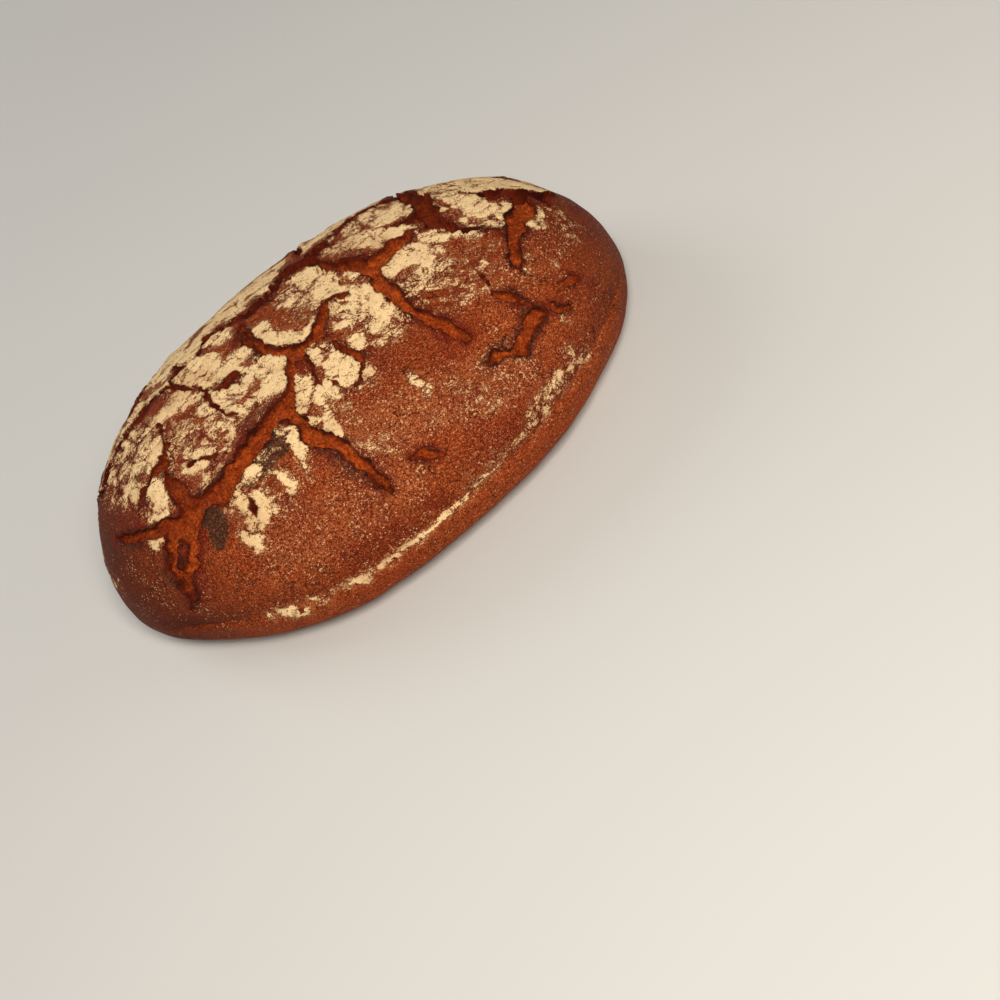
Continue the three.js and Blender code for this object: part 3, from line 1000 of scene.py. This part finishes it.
# %% What the mesh says
flour_here = attribute("flour")
dust_here = attribute("dust")
bake_and_shade_here = attribute("bake_and_shade")
lifting_here = attribute("lifting")
fresh_and_lit_here = attribute("freshness_and_light")
foot_mask = attribute("foot")

# %% [markdown]
# ## Masks
#
# A mask runs from 0 to 1 and says where one look replaces another. Each starts from a distance or an
# amount in the mesh, adds a sway of grain to roughen its edge, and ends in a ramp.
#
# Flour stays where its coverage beats the grain, the streaks and the cracks together. Moisture under it
# keeps the crust close by dark red.

# %% Masks of the tears
gap_wire = attribute("tear_gap") + medium_sway * 3.2 + sandy_sway * 1.4
inside = ramp(gap_wire, 0.3, -0.3)
on_crust = 1 - inside
depth_in = ramp(gap_wire, -0.1, -1.8)
# Painted shade: the wall under an uphill plate is darkened as if in that plate's shadow.
painted_wall_shade_mask = ramp(gap_wire, -2.5, -0.7) * attribute("under_plate")
rim_mask = ramp(gap_wire, 2.1, 0.4) * ramp(patchy, 0.42, 0.60, 0.1, 1.0) * lifting_here * on_crust
beside_mask = ramp(gap_wire, 4.0, 0.8) * ramp(lifting_here + patchy_sway, 0.1, 0.8)

# %% Masks of the flour and the dust
crack_mask = ramp(flake_crack + gritty_sway * 0.12, 0.11, 0.0)
craze_mask = ramp(attribute("craze_gap") + gritty_sway * 3.0, 1.3, 0.2)
ragged_edge = (flake_share - 0.5) * 0.35 + (streaks - 0.5) * 1.3 + medium_sway * 0.7
powder = gritty_sway * 1.6 + sandy_sway * 1.8
broken = crack_mask * ramp(patchy, 0.40, 0.60) * 0.32 + craze_mask * 0.34
flour_over = flour_here - 0.48 - ragged_edge - powder - broken
flour_mask = ramp(flour_over, -0.05, 0.07) * ramp(flour_here, 0.02, 0.10) * on_crust
thick_mask = ramp(flour_over, 0.0, 0.34)
thin_mask = ramp(flour_over, 0.42, 0.02) * ramp(dot_distance - dot_share * 0.4, 0.22, 0.12)

near_flour = flour_here + medium_sway * 0.8
damp_mask = ramp(near_flour, 0.04, 0.5)
red_mask = ramp(near_flour, 0.16, 0.78)

dust_over = dust_here * 0.38 + gritty_sway * 0.7 + patchy_sway * 0.5 + dot_share * 0.3
dust_mask = ramp(dust_over - dot_distance * 0.45, 0.19, 0.25) * (1 - damp_mask * 0.6)
haze_mask = ramp(dust_here - bake_and_shade_here * 0.35, 0.04, 0.45) * ramp(sandy + gritty, 0.88, 1.08)
haze_mask = haze_mask * (1 - damp_mask * 0.9)

# %% Masks of the scorching and the hair cracks
scorch_over = attribute("scorch") + medium_sway * 0.9 + sandy_sway * 0.9
scorch_mask = ramp(scorch_over, 0.25, 1.05) * on_crust
hairline = cells("Distance", "DISTANCE_TO_EDGE", 16, shaken(9, 9))
hairline_mask = ramp(hairline, 0.022, 0.006) * ramp(broad, 0.50, 0.60) * ramp(medium, 0.42, 0.52)
hairline_mask = hairline_mask * on_crust * (1 - attribute("underside"))
print(f"{len(crust.tree.nodes)} nodes in the grains and masks")

# %% Colours
RED_BROWN = srgb(140, 44, 8)
WARM_BROWN = srgb(164, 64, 14)
DARK_BROWN = srgb(66, 20, 7)
DEEP_RED = srgb(94, 9, 4)
# This near black is the char of rims and cracks, and also painted shade on the tear walls under uphill
# plates.
CHAR_AND_SHADE_BLACK = srgb(44, 12, 7)
TAN_GRAIN = srgb(206, 128, 80)
PALE_DUST = srgb(222, 170, 122)
SCORCHED = srgb(48, 28, 17)
BURNT_FLOUR = srgb(120, 88, 60)
TORN_ORANGE = srgb(224, 96, 31)
TORN_BROWN = srgb(146, 48, 16)
TORN_CRUMB = srgb(226, 140, 74)
# The dark torn red below is both the colour of early tears and painted shade on shaded tear floors.
TORN_RED_AND_SHADE = srgb(78, 13, 5)
CREAM = srgb(255, 219, 163)
GREY_FLOUR = srgb(200, 148, 98)
FLOUR_HAZE = srgb(184, 122, 76)
FOOT_ORANGE = srgb(160, 66, 22)

# %% [markdown]
# ## Coats of colour
#
# Each colour is laid on in coats: broad patches first, then grains, then what lies on top. The crust, the
# torn floors and the flour then meet along their masks.

# %% Coats of colour
bloom = ramp(cloudy, 0.38, 0.62, 0.6, 1.05) * (1 - bake_and_shade_here * 0.85) * (1 - foot_mask * 0.4)
scorched_colour = blend(ramp(sandy + gritty_sway * 0.6, 0.47, 0.66) * 0.55, SCORCHED, BURNT_FLOUR)
crust_colour = painted(
    blend(ramp(broad, 0.38, 0.62), RED_BROWN, WARM_BROWN),
    (foot_mask * 0.7, FOOT_ORANGE),
    (ramp(patchy, 0.45, 0.75) * 0.45, DARK_BROWN),
    # Darker at the crown, the foot band and the ends; at the ends this is partly painted shade.
    (bake_and_shade_here * 0.75, DARK_BROWN),
    (ramp(gritty, 0.54, 0.70) * bloom * 0.62, TAN_GRAIN),
    (ramp(sandy, 0.53, 0.65) * bloom * 0.95, TAN_GRAIN),
    (ramp(gritty, 0.52, 0.36) * 0.62, DARK_BROWN),
    (ramp(sandy, 0.50, 0.36) * 0.82, DARK_BROWN),
    (red_mask * 0.92, DEEP_RED),
    (beside_mask * 0.6, DEEP_RED),
    (haze_mask * 0.5, FLOUR_HAZE),
    (dust_mask * 0.85, PALE_DUST),
    (scorch_mask * 0.86, scorched_colour),
    (hairline_mask * 0.8, CHAR_AND_SHADE_BLACK),
    (rim_mask * ramp(medium, 0.36, 0.56, 0.6, 1.0), CHAR_AND_SHADE_BLACK),
)
# The floor's dark red end is partly painted shade: a low freshness darkens tears that lie in their plates'
# shadow.
torn_colour = painted(
    blend(depth_in * fresh_and_lit_here * ramp(medium, 0.3, 0.6, 0.5, 1.0), TORN_RED_AND_SHADE, TORN_ORANGE),
    (ramp(patchy, 0.42, 0.58) * 0.6, TORN_BROWN),
    (ramp(gritty, 0.54, 0.36) * 0.6, DARK_BROWN),
    (ramp(sandy, 0.52, 0.34) * 0.6, DARK_BROWN),
    (ramp(gritty, 0.56, 0.70) * depth_in * fresh_and_lit_here * 0.5, TORN_CRUMB),
    # Painted shade: the walls under uphill plates are darkened nearly black.
    (painted_wall_shade_mask * 0.8, CHAR_AND_SHADE_BLACK),
)
flour_colour = painted(
    blend(thick_mask * ramp(broad, 0.34, 0.50, 0.55, 1.0), GREY_FLOUR, CREAM),
    (ramp(gritty, 0.54, 0.68) * 0.3, GREY_FLOUR),
    (ramp(sandy, 0.46, 0.32) * 0.6, GREY_FLOUR),
    (thin_mask * 0.7, WARM_BROWN),
)
colour = painted(crust_colour, (inside, torn_colour), (flour_mask, flour_colour))

# %% [markdown]
# ## Fine relief and shine
#
# Sand, crumbs and powder are too fine for the mesh, so a Bump node tilts the light instead. Its heights
# are in millimetres. Dust, torn crumb and flour are all duller than bare crust.

# %% Surface
MOST_ROUGH = 0.96
skin_height = sandy_sway * 0.5 + gritty_sway * 0.6 - hairline_mask * 0.5
torn_height = (crumbly - 0.5) * 2.6 + sandy_sway * 0.6
flour_height = flour_mask * 0.55 + gritty_sway * flour_mask * 0.3
relief = skin_height * on_crust + torn_height * inside + flour_height
bump = crust.node("ShaderNodeBump", "Normal", {}, {"Strength": 0.9, "Distance": MM, "Height": relief})
roughness = ramp(gritty, 0.35, 0.65, 0.50, 0.74) + inside * 0.2 + dust_mask * 0.15 + flour_mask * 0.35
crust.surface({
    "Base Color": colour,
    "Roughness": roughness.at_most(MOST_ROUGH),
    "Normal": bump,
    "Specular IOR Level": 0.07,
})
mesh.materials.append(crust.material)
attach(loaf_crust, "root")
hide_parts("loaf")
print(f"{len(crust.tree.nodes)} nodes in the crust's material")

# %% [markdown]
# ## Floor and light
#
# The loaf lies on a plain pale floor. A broad lamp high in front gives the lips of the plates their
# shadows, a weaker one fills the right, and one behind keeps the far side readable.

# %% Floor
FLOOR_SIZE = 6.0
floor_signs = ((-1, -1), (1, -1), (1, 1), (-1, 1))
floor_corners = [(FLOOR_SIZE * x, FLOOR_SIZE * y, 0) for x, y in floor_signs]
floor_mesh = bpy.data.meshes.new("studio_floor")
floor_mesh.from_pydata(floor_corners, [], [(0, 1, 2, 3)])
floor = bpy.data.objects.new("studio_floor", floor_mesh)
bpy.context.scene.collection.objects.link(floor)
pale = Paint("pale_floor")
pale.surface({"Base Color": srgb(214, 211, 205), "Roughness": 0.8})
floor_mesh.materials.append(pale.material)
print(f"A floor {2 * FLOOR_SIZE:.0f} m wide")

# %% Lights
LOAF_MIDDLE = Vector((0, 0, 0.04))
WORLD_GLOW = 0.13


def lamp(name, place, size, power, colour):
    """A square area lamp at `place`, turned towards the loaf."""
    data = bpy.data.lights.new(name, "AREA")
    data.shape = "SQUARE"
    data.size = size
    data.energy = power
    data.color = colour
    light = bpy.data.objects.new(name, data)
    light.location = place
    light.rotation_euler = (LOAF_MIDDLE - Vector(place)).to_track_quat("-Z", "Y").to_euler()
    bpy.context.scene.collection.objects.link(light)


lamp("key_lamp", (0.1, -0.95, 1.15), 0.55, 20.0, (1.0, 0.95, 0.88))
lamp("fill_lamp", (1.3, -0.5, 0.8), 1.0, 2.0, (1.0, 0.97, 0.94))
lamp("back_lamp", (-0.9, 1.1, 0.9), 1.0, 9.0, (0.94, 0.97, 1.0))
world = bpy.data.worlds.new("studio")
world.use_nodes = True
background = world.node_tree.nodes["Background"]
background.inputs["Color"].default_value = (1, 1, 1, 1)
background.inputs["Strength"].default_value = WORLD_GLOW
bpy.context.scene.world = world
bpy.context.scene.view_settings.view_transform = "Standard"

# %% [markdown]
# ## Camera
#
# The camera looks down at 42 degrees from about a metre away. It is rolled and aimed a little beside the
# loaf's middle, so that the loaf lies diagonally across the view.

# %% Camera
VIEW_DOWN = math.radians(42)
VIEW_ROLL = math.radians(38.1)
VIEW_DISTANCE = 1.005
AIM_RIGHT = 0.057
AIM_UP = -0.029
LENS = 72
SENSOR_WIDTH = 36

towards_camera = Vector((0, -math.cos(VIEW_DOWN), math.sin(VIEW_DOWN)))
level_right = Vector((1, 0, 0))
level_up = towards_camera.cross(level_right)
view_right = level_right * math.cos(VIEW_ROLL) - level_up * math.sin(VIEW_ROLL)
view_up = level_right * math.sin(VIEW_ROLL) + level_up * math.cos(VIEW_ROLL)
camera_place = towards_camera * VIEW_DISTANCE
aim = view_right * AIM_RIGHT + view_up * AIM_UP
back = (camera_place - aim).normalized()
up = (view_up - back * view_up.dot(back)).normalized()
right = up.cross(back)

camera_data = bpy.data.cameras.new("camera")
camera_data.lens = LENS
camera_data.sensor_width = SENSOR_WIDTH
camera = bpy.data.objects.new("camera", camera_data)
camera.matrix_world = Matrix.Translation(camera_place) @ Matrix((right, up, back)).transposed().to_4x4()
bpy.context.scene.collection.objects.link(camera)
bpy.context.scene.camera = camera
print(f"The camera is {camera_place.length:.2f} m from the loaf")
